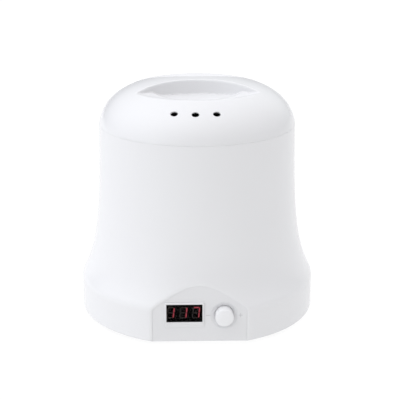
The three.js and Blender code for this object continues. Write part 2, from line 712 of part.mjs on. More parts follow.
function buildPot(root) {
  const pot = group(root);
  add(pot, "inner_pot", flangedCup(POT_R, POT_T, POT_BOTTOM_Z, POT_RIM_Z, POT_RIM_R), finish.aluminium);
  const earZ = POT_RIM_Z + POT_T + GAP;
  add(pot, "pot_ear_left", potEar(-1), finish.steel, [0, 0, earZ]);
  add(pot, "pot_ear_right", potEar(1), finish.steel, [0, 0, earZ]);
  const swing = group(pot, [0, 0, PIVOT_Z]);
  const restDrop = PIVOT_Z - (POT_RIM_Z + POT_T + GAP + BAIL_WIRE_R);
  swing.rotation.x = -Math.asin(restDrop / BAIL_R);
  add(swing, "bail_handle", bail(), finish.steel);
}

const waxBath = new THREE.Group();
buildHousing(waxBath);
buildControls(waxBath);
buildHeating(waxBath);
buildPower(waxBath);
buildInlet(waxBath);
buildWiring(waxBath);
buildPot(waxBath);
add(group(waxBath, [0, 0, LID_Z]), "lid", lidShell(), finish.housing);

export default waxBath;
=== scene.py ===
"""Looks of a round table-top wax heater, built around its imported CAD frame.

+Z is up and -Y is the front. Shapes are worked out in millimetres, in the frame's own coordinates,
and become metres when each mesh is made.
"""

import json
import math

import bmesh
import bpy
import numpy as np
from mathutils import Matrix, Vector


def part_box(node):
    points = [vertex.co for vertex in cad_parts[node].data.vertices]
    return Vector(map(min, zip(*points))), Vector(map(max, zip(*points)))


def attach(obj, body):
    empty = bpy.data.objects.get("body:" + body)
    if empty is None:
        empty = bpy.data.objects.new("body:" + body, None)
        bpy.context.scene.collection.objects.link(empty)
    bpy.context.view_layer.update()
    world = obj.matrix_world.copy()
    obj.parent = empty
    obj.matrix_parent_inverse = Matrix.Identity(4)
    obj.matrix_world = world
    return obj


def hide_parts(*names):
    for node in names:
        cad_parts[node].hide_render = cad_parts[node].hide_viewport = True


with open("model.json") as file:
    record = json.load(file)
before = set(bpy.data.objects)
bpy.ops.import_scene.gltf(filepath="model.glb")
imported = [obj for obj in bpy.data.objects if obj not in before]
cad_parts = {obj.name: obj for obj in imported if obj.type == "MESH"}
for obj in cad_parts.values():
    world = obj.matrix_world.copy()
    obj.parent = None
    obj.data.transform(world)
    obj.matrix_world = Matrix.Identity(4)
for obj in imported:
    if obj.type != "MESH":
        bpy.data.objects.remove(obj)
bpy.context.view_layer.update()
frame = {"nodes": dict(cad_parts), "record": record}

MM = 0.001
TURN = 2 * math.pi


def box_mm(node):
    low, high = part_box(node)
    return low / MM, high / MM


# ---- Driving sizes, in millimetres, as the frame has them ----

SHELL_LOW, SHELL_HIGH = box_mm("outer_shell")
LID_LOW, LID_HIGH = box_mm("lid")
LENS_LOW, LENS_HIGH = box_mm("display_lens")
LED_LOW, LED_HIGH = box_mm("led_display")
KNOB_LOW, KNOB_HIGH = box_mm("control_knob")
WELL_LOW, WELL_HIGH = box_mm("heating_well")
POT_LOW, POT_HIGH = box_mm("inner_pot")
EAR_LOW, EAR_HIGH = box_mm("pot_ear_right")
PLATE_LOW, PLATE_HIGH = box_mm("bottom_plate")
INLET_LOW, INLET_HIGH = box_mm("inlet_socket")
BOARD_Z = box_mm("power_board")[0].z

WALL = 2.6
BASE_R = SHELL_HIGH.x
NECK_R = 82.5
SHELL_Z = SHELL_LOW.z - 1.5  # the photo's lower edge is a little below the CAD's
RIDGE_Z = 32
FLARE_LENGTH = 31.5
RIM_Z = SHELL_HIGH.z
FRONT_Y = SHELL_LOW.y
REAR_Y = SHELL_HIGH.y
LEDGE_Z = 157.5
LEDGE_T = 2.5
LEDGE_R = 70.8
RECESS_R = 78.8
RIM_RISE = 0.45  # closes the seam under the lid to the photo's fine line

LID_WALL = 2.7
LID_STEP = 1.1
SKIRT_DROP = 4.6
SKIRT_MID_R = 76.9
SKIRT_HALF_T = 1.3
FLANGE_MID_R = 78.8
FLANGE_HALF_W = 3.2
FLANGE_HALF_T = 1.35
TRIM_R = 78.1  # just inside the skirt's outer face: from here out, the lid's lower edge is cut flat
LID_Z = LID_LOW.z + SKIRT_DROP
DOME_R = 83.5
DOME_POWER = 2.6
DOME_CENTRE_Z = -10.9
DOME_H = 48.3
DISH_Z = 25.5
DISH_SQUASH = 0.83
SHOULDER_STRETCH = 1.08
HANDLE_HALF_T = 6.6
HANDLE_FACE_R = 75
VENT_R = 3.05
VENT_SQUASH = 1.25
VENT_AT_R = 69.5
VENT_AT_Z = 22.4
VENT_STEP = 14
VENT_TURN = -2.3
VENT_SLOPE = 50
VENT_DEPTH = 9

PANEL_Y = FRONT_Y + 0.3
PANEL_BACK_Y = -87.2
WINDOW_X = (LENS_LOW.x + LENS_HIGH.x) / 2
WINDOW_Z = (LENS_LOW.z + LENS_HIGH.z) / 2
WINDOW_HALF_W = (LENS_HIGH.x - LENS_LOW.x) / 2 - 1
WINDOW_HALF_H = (LENS_HIGH.z - LENS_LOW.z) / 2 - 1
KNOB_X = (KNOB_LOW.x + KNOB_HIGH.x) / 2
KNOB_Z = (KNOB_LOW.z + KNOB_HIGH.z) / 2
KNOB_R = (KNOB_HIGH.x - KNOB_LOW.x) / 2
KNOB_DISH_R = 11.4
CUP_FLOOR_Y = -82.5
MARK_REACH = 13.2

WELL_R = 69
WELL_T = 1.4
POT_R = 65.8
POT_T = 1.2
PIVOT_Z = 165.5
BAIL_R = 67.5
BAIL_WIRE_R = 1.5
EAR_HALF_W = 4.2
EAR_T = 1.2

PLATE_T = 2.4
PLATE_TOP = PLATE_LOW.z + PLATE_T
PIN_HALF_W = 1
PIN_HALF_H = 2


# ---- Mesh tools ----


def made(name, vertices, faces):
    """A new object from vertices in millimetres, its faces turned outwards."""
    mesh = bpy.data.meshes.new(name)
    mesh.from_pydata((np.asarray(vertices, float) * MM).tolist(), [], [list(f) for f in faces])
    turned = bmesh.new()
    turned.from_mesh(mesh)
    bmesh.ops.recalc_face_normals(turned, faces=turned.faces)
    turned.to_mesh(mesh)
    turned.free()
    obj = bpy.data.objects.new(name, mesh)
    bpy.context.scene.collection.objects.link(obj)
    return obj


def settle(obj):
    """Applies the object's modifiers and its place, so that its mesh alone says where it is."""
    bpy.context.view_layer.update()
    depsgraph = bpy.context.evaluated_depsgraph_get()
    mesh = bpy.data.meshes.new_from_object(obj.evaluated_get(depsgraph))
    mesh.transform(obj.matrix_world)
    obj.modifiers.clear()
    obj.data = mesh
    obj.matrix_world = Matrix.Identity(4)
    return obj


def combine(obj, tools, operation):
    """Joins the tools to obj, or cuts them from it, and removes them."""
    for tool in tools:
        modifier = obj.modifiers.new("combine", "BOOLEAN")
        modifier.object = tool
        modifier.operation = operation
        modifier.solver = "EXACT"
    settle(obj)
    for tool in tools:
        bpy.data.objects.remove(tool)
    return obj


def carve(obj, *tools):
    return combine(obj, tools, "DIFFERENCE")


def weld(obj, *tools):
    return combine(obj, tools, "UNION")


def gather(name, parts):
    """One object from several separate ones, whose meshes don't touch."""
    joined = bmesh.new()
    for part in parts:
        joined.from_mesh(part.data)
        bpy.data.objects.remove(part)
    mesh = bpy.data.meshes.new(name)
    joined.to_mesh(mesh)
    joined.free()
    obj = bpy.data.objects.new(name, mesh)
    bpy.context.scene.collection.objects.link(obj)
    return obj


def shown(obj, material, body, stands_for=(), sharp=32):
    """Gives a finished mesh its shading, material and body, and hides the CAD parts it stands for."""
    obj.data.shade_smooth()
    obj.data.set_sharp_from_angle(angle=math.radians(sharp))
    obj.data.materials.clear()
    obj.data.materials.append(material)
    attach(obj, body)
    if stands_for:
        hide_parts(*stands_for)
    return obj


def rounded(outline, closed=False, steps=5):
    """The outline with an arc at each corner that has a radius as its third value."""
    count = len(outline)
    points = []
    for i, (u, v, *radius) in enumerate(outline):
        is_end = not closed and i in (0, count - 1)
        if is_end or not radius:
            points.append((u, v))
            continue
        here = Vector((u, v))
        before = Vector(outline[i - 1][:2]) - here
        after = Vector(outline[(i + 1) % count][:2]) - here
        half = before.angle(after) / 2
        reach = min(radius[0] / math.tan(half), before.length * 0.49, after.length * 0.49)
        start = here + before.normalized() * reach
        end = here + after.normalized() * reach
        bend = reach * math.tan(half)
        inwards = (before.normalized() + after.normalized()).normalized()
        middle = here + inwards * math.hypot(reach, bend)
        for k in range(steps + 1):
            share = k / steps
            chord = start.lerp(end, share) - middle
            points.append(tuple(middle + chord.normalized() * bend))
    return points


def lathe(name, profile, closed=False, segments=144):
    """A solid turned about Z from (radius, height) points: a loop, or a line from axis to axis."""
    vertices, rings = [], []
    angles = [TURN * i / segments for i in range(segments)]
    for r, z in profile:
        first = len(vertices)
        if r < 1e-6:
            vertices.append((0, 0, z))
            rings.append([first] * segments)
        else:
            vertices += [(r * math.cos(a), r * math.sin(a), z) for a in angles]
            rings.append(list(range(first, first + segments)))
    pairs = list(zip(rings, rings[1:]))
    if closed:
        pairs.append((rings[-1], rings[0]))
    faces = []
    for low, high in pairs:
        for i in range(segments):
            j = (i + 1) % segments
            corners = dict.fromkeys((low[i], low[j], high[j], high[i]))
            if len(corners) > 2:
                faces.append(tuple(corners))
    return made(name, vertices, faces)


def loft(name, sections):
    """A closed solid through sections, each a loop of (x, y, z) points in the same order."""
    count = len(sections[0])
    vertices = [point for section in sections for point in section]
    faces = [tuple(range(count))[::-1]]
    faces.append(tuple(range(len(vertices) - count, len(vertices))))
    for s in range(len(sections) - 1):
        first = s * count
        for i in range(count):
            j = (i + 1) % count
            faces.append((first + i, first + j, first + count + j, first + count + i))
    return made(name, vertices, faces)


def facing(outline, y):
    """An (x, z) outline as a loop at depth y."""
    return [(x, y, z) for x, z in outline]


def flat(outline, z):
    """An (x, y) outline as a loop at height z."""
    return [(x, y, z) for x, y in outline]


def rounded_box(low, high, radius, steps=4):
    """The outline of a rectangle with round corners, between its lower and its upper corner."""
    (u0, v0), (u1, v1) = low, high
    corners = [(u0, v0, radius), (u1, v0, radius), (u1, v1, radius), (u0, v1, radius)]
    return rounded(corners, closed=True, steps=steps)


def softened_block(name, low, high, edge, corner=None):
    """A block with chamfered edges all round, and round upright corners."""
    corner = corner or edge
    (x0, y0, z0), (x1, y1, z1) = low, high
    wide = rounded_box((x0, y0), (x1, y1), corner)
    narrow = rounded_box((x0 + edge, y0 + edge), (x1 - edge, y1 - edge), max(corner - edge, 0.05))
    sections = [(narrow, z0), (wide, z0 + edge), (wide, z1 - edge), (narrow, z1)]
    return loft(name, [flat(outline, z) for outline, z in sections])


def tube(name, points, radius, sides=20):
    """A round wire along points, with the section kept from twisting, and flat ends."""
    path = [Vector(p) for p in points]
    tangents = []
    for i in range(len(path)):
        tangents.append((path[min(i + 1, len(path) - 1)] - path[max(i - 1, 0)]).normalized())
    side = tangents[0].orthogonal().normalized()
    sections = []
    for i, (at, along) in enumerate(zip(path, tangents)):
        if i:
            side = (side - along * side.dot(along)).normalized()
        other = along.cross(side)
        angles = [TURN * k / sides for k in range(sides)]
        sections.append([at + (side * math.cos(a) + other * math.sin(a)) * radius for a in angles])
    return loft(name, sections)


def soft_min(a, b, k):
    """The lower of two values, blended over a reach of k."""
    share = np.clip(0.5 + 0.5 * (b - a) / k, 0, 1)
    return b + (a - b) * share - k * share * (1 - share)


def surface_net(name, field, low, high, step):
    """The surface where field is zero, as a mesh of quads whose vertices lie on it."""
    axes = [np.arange(a - step, b + 2 * step, step) for a, b in zip(low, high)]
    grid = np.meshgrid(*axes, indexing="ij")
    values = field(*grid)
    inside = values < 0
    cells = tuple(n - 1 for n in values.shape)

    def corner(array, i, j, k):
        return array[i : i + cells[0], j : j + cells[1], k : k + cells[2]]

    filled = sum(corner(inside, i, j, k).astype(np.int8) for i in (0, 1) for j in (0, 1) for k in (0, 1))
    active = (filled > 0) & (filled < 8)
    index = np.full(cells, -1)
    index[active] = np.arange(active.sum())
    total = np.zeros((*cells, 3))
    crossings = np.zeros(cells)
    for axis in range(3):
        across = [d for d in range(3) if d != axis]
        for p in (0, 1):
            for q in (0, 1):
                start = [0, 0, 0]
                start[across[0]], start[across[1]] = p, q
                end = list(start)
                end[axis] = 1
                a, b = corner(values, *start), corner(values, *end)
                hit = (a < 0) != (b < 0)
                share = np.where(hit, a / np.where(hit, a - b, 1), 0)
                for d in range(3):
                    total[..., d] += hit * (share if d == axis else start[d])
                crossings += hit
    base = np.stack([grid[d][:-1, :-1, :-1] for d in range(3)], -1)
    points = base[active] + total[active] / crossings[active][:, None] * step
    faces = []
    for axis in range(3):
        first, second = [d for d in range(3) if d != axis]
        a = np.take(inside, range(cells[axis]), axis)
        b = np.take(inside, range(1, cells[axis] + 1), axis)
        for cell in np.argwhere(a != b):
            around = []
            for p, q in ((0, 0), (1, 0), (1, 1), (0, 1)):
                near = cell.copy()
                near[first] -= p
                near[second] -= q
                around.append(index[tuple(near)])
            faces.append(around)
    nudge = step * 0.02
    for _ in range(4):
        x, y, z = points.T
        value = field(x, y, z)
        slope = np.stack(
            [
                field(x + nudge, y, z) - value,
                field(x, y + nudge, z) - value,
                field(x, y, z + nudge) - value,
            ],
            1,
        )
        slope /= nudge
        size = np.maximum((slope**2).sum(1), 0.2)
        move = -(value / size)[:, None] * slope
        points = points + np.clip(move, -0.4 * step, 0.4 * step)
    return made(name, points, faces)


# ---- Material tools ----


class Nodes:
    """A small helper that adds and links the nodes of one material."""

    def __init__(self, name):
        self.material = bpy.data.materials.new(name)
        self.material.use_nodes = True
        self.tree = self.material.node_tree
        self.shader = self.tree.nodes["Principled BSDF"]
        self.place = self.tree.nodes.new("ShaderNodeTexCoord").outputs["Object"]

    def add(self, kind, inputs=None, **settings):
        node = self.tree.nodes.new(kind)
        for key, value in settings.items():
            setattr(node, key, value)
        for key, value in (inputs or {}).items():
            self.set(node.inputs[key], value)
        return node

    def set(self, socket, value):
        if isinstance(value, bpy.types.NodeSocket):
            self.tree.links.new(value, socket)
        else:
            socket.default_value = value

    def surface(self, **inputs):
        for key, value in inputs.items():
            self.set(self.shader.inputs[key.replace("_", " ")], value)

    def stretched(self, scale):
        return self.add("ShaderNodeMapping", {"Vector": self.place, "Scale": scale}).outputs["Vector"]

    def noise(self, scale, detail=3, vector=None):
        inputs = {"Vector": vector or self.place, "Scale": scale, "Detail": detail}
        return self.add("ShaderNodeTexNoise", inputs).outputs["Fac"]

    def between(self, fac, low, high):
        """A value that runs from low to high with fac."""
        node = self.add("ShaderNodeMapRange", {"Value": fac, "To Min": low, "To Max": high})
        return node.outputs["Result"]

    def blended(self, fac, first, second):
        node = self.add("ShaderNodeMix", data_type="RGBA")
        self.set(node.inputs[0], fac)
        self.set(node.inputs[6], (*first, 1))
        self.set(node.inputs[7], (*second, 1))
        return node.outputs[2]

    def bump(self, height, strength, distance):
        inputs = {"Height": height, "Strength": strength, "Distance": distance}
        return self.add("ShaderNodeBump", inputs).outputs["Normal"]


def shade(color, factor):
    return tuple(min(1, c * factor) for c in color)


def moulded_plastic(name, color, roughness, grain=0.00002, specular=0.5):
    """Moulded plastic: a faint cloud in its colour and gloss, and a fine skin."""
    n = Nodes(name)
    cloud = n.noise(18, 4)
    skin = n.noise(900, 2)
    n.surface(
        Base_Color=n.blended(cloud, shade(color, 0.985), shade(color, 1.01)),
        Roughness=n.between(cloud, roughness * 0.88, roughness * 1.12),
        Normal=n.bump(skin, 0.25, grain),
        Specular_IOR_Level=specular,
    )
    return n.material


def brushed_metal(name, color, roughness, stretch, scale=140):
    """Metal with fine lines along one way, and a slow change of tone."""
    n = Nodes(name)
    lines = n.noise(scale, 5, n.stretched(stretch))
    cloud = n.noise(25, 3)
    n.surface(
        Base_Color=n.blended(cloud, shade(color, 0.93), shade(color, 1.04)),
        Metallic=1.0,
        Roughness=n.between(lines, roughness * 0.75, roughness * 1.3),
        Normal=n.bump(lines, 0.2, 0.00003),
    )
    return n.material


def spun_metal(name, color, roughness):
    """Metal turned on a lathe: fine rings round the Z axis."""
    n = Nodes(name)
    parts = n.add("ShaderNodeSeparateXYZ", {"Vector": n.place})
    flat_part = n.add("ShaderNodeCombineXYZ", {"X": parts.outputs["X"], "Y": parts.outputs["Y"]})
    radius = n.add("ShaderNodeVectorMath", {0: flat_part.outputs["Vector"]}, operation="LENGTH")
    coil = n.add("ShaderNodeMath", {0: radius.outputs["Value"], 1: parts.outputs["Z"]}, operation="ADD")
    inputs = {"W": coil.outputs["Value"], "Scale": 2600.0}
    rings = n.add("ShaderNodeTexNoise", inputs, noise_dimensions="1D").outputs["Fac"]
    cloud = n.noise(30, 3)
    n.surface(
        Base_Color=n.blended(cloud, shade(color, 0.94), shade(color, 1.03)),
        Metallic=1.0,
        Roughness=n.between(rings, roughness * 0.7, roughness * 1.35),
        Normal=n.bump(rings, 0.25, 0.00003),
    )
    return n.material


def soft_rubber(name, color, roughness=0.8):
    n = Nodes(name)
    dust = n.noise(60, 5)
    pores = n.noise(1400, 2)
    n.surface(
        Base_Color=n.blended(dust, shade(color, 0.85), shade(color, 1.25)),
        Roughness=n.between(dust, roughness * 0.9, min(1, roughness * 1.1)),
        Normal=n.bump(pores, 0.35, 0.00004),
    )
    return n.material


def circuit_board(name, color):
    """Solder mask over faint copper tracks."""
    n = Nodes(name)
    white = (1, 1, 1, 1)
    inputs = {"Vector": n.place, "Scale": 160.0, "Mortar Size": 0.07, "Color1": white, "Color2": white}
    tracks = n.add("ShaderNodeTexBrick", inputs).outputs["Fac"]
    cloud = n.noise(40, 3)
    n.surface(
        Base_Color=n.blended(tracks, color, shade(color, 1.5)),
        Roughness=n.between(cloud, 0.3, 0.42),
        Normal=n.bump(tracks, 0.3, 0.00003),
    )
    return n.material


def fibre_blanket(name, color):
    n = Nodes(name)
    fibres = n.noise(300, 6, n.stretched((1, 1, 0.3)))
    tufts = n.noise(45, 4)
    n.surface(
        Base_Color=n.blended(tufts, shade(color, 0.82), shade(color, 1.08)),
        Roughness=n.between(fibres, 0.85, 1.0),
        Normal=n.bump(fibres, 0.7, 0.0004),
    )
    return n.material


def smoked_lens(name):
    n = Nodes(name)
    haze = n.noise(80, 3)
    n.surface(
        Base_Color=n.blended(haze, (0.50, 0.47, 0.47), (0.54, 0.51, 0.51)),
        Roughness=n.between(haze, 0.02, 0.05),
        Transmission_Weight=1.0,
        IOR=1.12,
    )
    return n.material


def lit_segment(name, color, strength):
    """A light-emitting bar whose glow is a little uneven along it."""
    n = Nodes(name)
    glow = n.noise(500, 2)
    n.surface(
        Base_Color=n.blended(glow, shade(color, 0.5), color),
        Emission_Color=n.blended(glow, shade(color, 0.85), color),
        Emission_Strength=strength,
        Roughness=0.5,
    )
    return n.material


WHITE = (0.80, 0.803, 0.815)
PAINT = {
    "housing_plastic": moulded_plastic("housing_plastic", WHITE, 0.24),
    "panel_plastic": moulded_plastic("panel_plastic", (0.765, 0.768, 0.78), 0.34, 0.00004),
    "knob_plastic": moulded_plastic("knob_plastic", (0.84, 0.843, 0.855), 0.22),
    "lens_plastic": smoked_lens("lens_plastic"),
    "display_plastic": moulded_plastic("display_plastic", (0.003, 0.003, 0.003), 0.7, 0.00004, 0.05),
    "black_plastic": moulded_plastic("black_plastic", (0.022, 0.022, 0.024), 0.42, 0.00006),
    "circuit_board": circuit_board("circuit_board", (0.03, 0.20, 0.08)),
    "drawn_aluminium": spun_metal("drawn_aluminium", (0.80, 0.81, 0.82), 0.30),
    "steel_parts": brushed_metal("steel_parts", (0.62, 0.63, 0.64), 0.30, (1, 1, 12)),
    "heater_steel": brushed_metal("heater_steel", (0.50, 0.48, 0.45), 0.42, (1, 1, 14)),
    "brass_pins": brushed_metal("brass_pins", (0.78, 0.60, 0.28), 0.26, (12, 1, 12)),
    "foot_rubber": soft_rubber("foot_rubber", (0.05, 0.05, 0.052)),
    "blanket_fibre": fibre_blanket("blanket_fibre", (0.80, 0.76, 0.64)),
    "relay_blue": moulded_plastic("relay_blue", (0.05, 0.15, 0.42), 0.35),
    "terminal_green": moulded_plastic("terminal_green", (0.08, 0.34, 0.10), 0.45),
    "transformer_yellow": moulded_plastic("transformer_yellow", (0.62, 0.46, 0.06), 0.5, 0.0001),
    "capacitor_red": moulded_plastic("capacitor_red", (0.40, 0.08, 0.04), 0.3),
    "wire_brown": soft_rubber("wire_brown", (0.17, 0.07, 0.03), 0.5),
    "wire_blue": soft_rubber("wire_blue", (0.04, 0.12, 0.45), 0.5),
    "wire_green": soft_rubber("wire_green", (0.12, 0.40, 0.07), 0.5),
    "wire_red": soft_rubber("wire_red", (0.42, 0.05, 0.03), 0.6),
    "wire_grey": soft_rubber("wire_grey", (0.36, 0.37, 0.38), 0.5),
}
LIT_RED = lit_segment("lit_segment", (0.80, 0.11, 0.15), 0.62)
UNLIT = moulded_plastic("unlit_segment", (0.12, 0.11, 0.105), 0.6, 0.00004, 0.1)
PRINT_GREY = moulded_plastic("print_grey", (0.60, 0.60, 0.615), 0.5, 0.00004)


def finish_nodes():
    """Every CAD node takes the material of its slot, whether it stays in view or not."""
    for part in frame["record"]["subparts"]:
        materials = frame["nodes"][part["node"]].data.materials
        materials.clear()
        materials.append(PAINT[part["material_slot"]])


# ---- Camera, light and floor ----


def add_camera():
    pitch = math.radians(17.61)
    turn = math.radians(1.3)
    target = Vector((0, 0, 0.09465))
    level = math.cos(pitch)
    away = Vector((-math.sin(turn) * level, -math.cos(turn) * level, math.sin(pitch)))
    data = bpy.data.cameras.new("camera")
    data.sensor_width = 36
    data.lens = 102.8
    data.shift_x = 0.0075
    camera = bpy.data.objects.new("camera", data)
    camera.location = target + away * 0.9878
    camera.rotation_euler = (math.pi / 2 - pitch, 0, -turn)
    bpy.context.scene.collection.objects.link(camera)
    bpy.context.scene.camera = camera


# The studio is a sum of soft glows: azimuth from the front and height, in degrees, tightness and colour.
GLOWS = [
    (0, 90, 1, (1.13, 1.13, 1.15)),  # overhead
    (180, 50, 4, (0.22, 0.23, 0.24)),  # high behind
    (-75, 50, 6, (0.85, 0.87, 0.95)),  # high left
    (-10, 55, 6, (0.29, 0.27, 0.22)),  # high in front
    (75, 50, 6, (0.16, 0.15, 0.15)),  # high right
    (-100, 8, 8, (0.70, 0.70, 0.76)),  # left
    (-55, 8, 8, (0.76, 0.80, 0.85)),  # front left
    (85, 8, 8, (0.36, 0.36, 0.41)),  # right
    (140, 8, 6, (0.59, 0.62, 0.62)),  # back right
]
FLOOR_GLOW = 0.87


def add_world():
    world = bpy.data.worlds.new("studio")
    bpy.context.scene.world = world
    world.use_nodes = True
    tree = world.node_tree

    def node(kind, inputs, **settings):
        made_node = tree.nodes.new(kind)
        for key, value in settings.items():
            setattr(made_node, key, value)
        for key, value in inputs.items():
            if isinstance(value, bpy.types.NodeSocket):
                tree.links.new(value, made_node.inputs[key])
            else:
                made_node.inputs[key].default_value = value
        return made_node

    way = node("ShaderNodeTexCoord", {}).outputs["Generated"]
    total = None
    for azimuth, height, tightness, color in GLOWS:
        across, up = math.radians(azimuth), math.radians(height)
        level = math.cos(up)
        unit = (math.sin(across) * level, -math.cos(across) * level, math.sin(up))
        aligned = node("ShaderNodeVectorMath", {0: way, 1: unit}, operation="DOT_PRODUCT").outputs["Value"]
        ahead = node("ShaderNodeMath", {0: aligned, 1: 0.0}, operation="MAXIMUM").outputs[0]
        spread = node("ShaderNodeMath", {0: ahead, 1: float(tightness)}, operation="POWER").outputs[0]
        glow = node("ShaderNodeVectorMath", {0: color, "Scale": spread}, operation="SCALE").outputs[0]
        if total:
            glow = node("ShaderNodeVectorMath", {0: total, 1: glow}, operation="ADD").outputs[0]
        total = glow
    tree.links.new(total, tree.nodes["Background"].inputs["Color"])


def add_floor():
    size = 6000
    corners = [(-size, -size, 0), (size, -size, 0), (size, size, 0), (-size, size, 0)]
    floor = made("floor", corners, [(0, 1, 2, 3)])
    n = Nodes("floor_paper")
    cloud = n.noise(2, 3)
    n.surface(
        Base_Color=n.blended(cloud, (0.14, 0.14, 0.14), (0.16, 0.16, 0.16)),
        Roughness=0.9,
        Specular_IOR_Level=0.1,
        Emission_Color=(1, 1, 1, 1),
        Emission_Strength=FLOOR_GLOW,
    )
    floor.data.materials.append(n.material)


# ---- Housing ----


def flare_radius(z):
    """The housing's radius: a straight foot band that rolls into the flare over a soft ridge."""
    flare = NECK_R + (BASE_R - NECK_R) * np.exp((RIDGE_Z - z) / FLARE_LENGTH)
    return soft_min(np.minimum(flare, BASE_R * 2), BASE_R, 1.6)


def housing_angles():
    """Angles round the housing, close together where its flats are."""
    front = np.arange(-28, 28, 0.4)
    right = np.linspace(28, 162, 54, endpoint=False)
    rear = np.arange(162, 198, 0.6)
    left = np.linspace(198, 332, 54, endpoint=False)
    return np.radians(np.concatenate([front, right, rear, left]) - 90)


def housing_rows():
    """The housing's section from its foot, out and round, as (radius, height, whether it is inside)."""
    low = np.arange(SHELL_Z + 1.2, 58, 0.8)
    high = np.linspace(58, RIM_Z - 0.9, 30)
    rows = [(BASE_R - 0.8, SHELL_Z, 0), (BASE_R - 0.25, SHELL_Z + 0.25, 0), (BASE_R, SHELL_Z + 0.8, 0)]
    rows += [(flare_radius(z), z, 0) for z in (*low, *high)]
    top = flare_radius(RIM_Z)
    rim = [
        (top, RIM_Z - 0.9),
        (top, RIM_Z + RIM_RISE, 0.2),
        (RECESS_R, RIM_Z + RIM_RISE, 0.2),
        (RECESS_R, LEDGE_Z, 0.6),
        (LEDGE_R, LEDGE_Z, 0.5),
        (LEDGE_R, LEDGE_Z - LEDGE_T, 0.4),
        (top - WALL - 2, LEDGE_Z - LEDGE_T),
    ]
    rows += [(r, z, 1) for r, z in rounded(rim)[1:]]
    rows += [(flare_radius(z) - WALL, z, 1) for z in np.linspace(LEDGE_Z - LEDGE_T - 1, 58, 14)]
    rows += [(flare_radius(z) - WALL, z, 1) for z in np.linspace(56, SHELL_Z, 24)]
    return rows


def arch(inset, bottom, steps=72):
    """Where the front plane cuts the flare, drawn in by inset, as (x, z) from its lower right corner."""
    ridge = RIDGE_Z - 6
    apex = RIDGE_Z + FLARE_LENGTH * math.log((BASE_R - NECK_R) / (-FRONT_Y - NECK_R))
    heights = ridge + (apex - ridge) * np.sin(np.linspace(0, math.pi / 2, steps))
    half = np.sqrt(np.maximum(flare_radius(heights) ** 2 - FRONT_Y**2, 0))
    half[-1] = 0
    right = np.stack([half, heights], 1)
    left = right[-2::-1] * (-1, 1)
    curve = np.concatenate([right, left])
    along = np.gradient(curve, axis=0)
    along /= np.linalg.norm(along, axis=1)[:, None]
    curve = curve + np.stack([-along[:, 1], along[:, 0]], 1) * inset
    foot = curve[0][0]
    return [(foot, bottom), *map(tuple, curve.tolist()), (-foot, bottom)]


def add_housing():
    """The shell: its section swept round, flattened at front and rear, and cut for panel and inlet."""
    angles = housing_angles()
    rows = housing_rows()
    vertices = []
    for r, z, inner in rows:
        front = -FRONT_Y - WALL * inner
        rear = REAR_Y - WALL * inner
        y = r * np.sin(angles)
        y = -soft_min(-y, front, 0.35)
        y = soft_min(y, rear, 0.35)
        vertices += np.stack([r * np.cos(angles), y, np.full(len(angles), z)], 1).tolist()
    count = len(angles)
    faces = []
    for s in range(len(rows)):
        first, second = s * count, (s + 1) % len(rows) * count
        for i in range(count):
            j = (i + 1) % count
            faces.append((first + i, first + j, second + j, second + i))
    shell = made("housing", vertices, faces)
    opening = loft(
        "opening",
        [
            facing(arch(1.85, -SHELL_Z), FRONT_Y - 2),
            facing(arch(1.85, -SHELL_Z), FRONT_Y),
            facing(arch(2.0, -SHELL_Z), FRONT_Y + 0.2),
            facing(arch(2.0, -SHELL_Z), FRONT_Y + 2 * WALL),
        ],
    )
    inlet_z = (INLET_LOW.z + INLET_HIGH.z) / 2
    mouth = rounded_box((-13.8, inlet_z - 10.2), (13.8, inlet_z + 10.2), 1)
    inlet = loft("inlet", [facing(mouth, REAR_Y - 2 * WALL), facing(mouth, REAR_Y + 1)])
    carve(shell, opening, inlet)
    shown(shell, PAINT["housing_plastic"], "base", ["outer_shell"], sharp=30)


# ---- Lid ----


def round_max(a, b, radius):
    """The intersection of two solids, with its edges rounded to radius."""
    u, v = np.maximum(a + radius, 0), np.maximum(b + radius, 0)
    return np.minimum(-radius, np.maximum(a, b)) + np.hypot(u, v)


def dome(x, y, z):
    """How far a point lies outside the dome, near its surface."""
    a = np.maximum(np.hypot(x, y) / DOME_R, 1e-6)
    b = np.maximum((z - DOME_CENTRE_Z) / DOME_H, 1e-6)
    p = DOME_POWER
    level = (a**p + b**p) ** (1 / p)
    slope = np.hypot(a ** (p - 1) / DOME_R, b ** (p - 1) / DOME_H) * level ** (1 - p)
    return (level - 1) / slope


# Sections of the finger dish, as how far out and how high above its floor: a bowl, and the step round it.
BOWL = [(0, 0), (34, 0), (37, 0.1), (39, 0.35), (41, 0.8), (43, 1.45)]
BOWL += [(45, 2.4), (46.5, 3.3), (48, 4.6), (50, 7.6), (70, 40)]
SHOULDER = [(0, 3.3), (46, 3.3), (49, 3.5), (51, 3.85), (53, 4.5), (55, 5.6)]
SHOULDER += [(57, 7.6), (59, 10.6), (61, 15), (63, 21), (80, 90)]


def scoop(x, y, z, stretch, section):
    """How far a point lies outside a bowl's open space, with the bowl's section stretched sideways."""
    stops, rises = np.array(section).T
    rises = DISH_Z + rises
    reach = np.hypot(x / stretch, y)
    floor = np.interp(reach, stops, rises)
    slope = np.interp(reach + 1, stops, rises) - np.interp(reach - 1, stops, rises)
    return (floor - z) / np.hypot(1, slope / 2)


def dish(x, y, z):
    """How far a point lies outside the finger dish's open space."""
    bowl = scoop(x, y, z, DISH_SQUASH, BOWL)
    shoulder = scoop(x, y, z, SHOULDER_STRETCH, SHOULDER)
    return -round_max(-bowl, -shoulder, 1.2)


def blade(x, y, z):
    """How far a point lies outside the handle's hollowed faces, which spread a little downwards."""
    half = HANDLE_HALF_T + x**2 / (2 * HANDLE_FACE_R) + (DISH_Z + 12 - z) * 0.1
    return (np.abs(y) - half) / np.hypot(1, x / HANDLE_FACE_R)


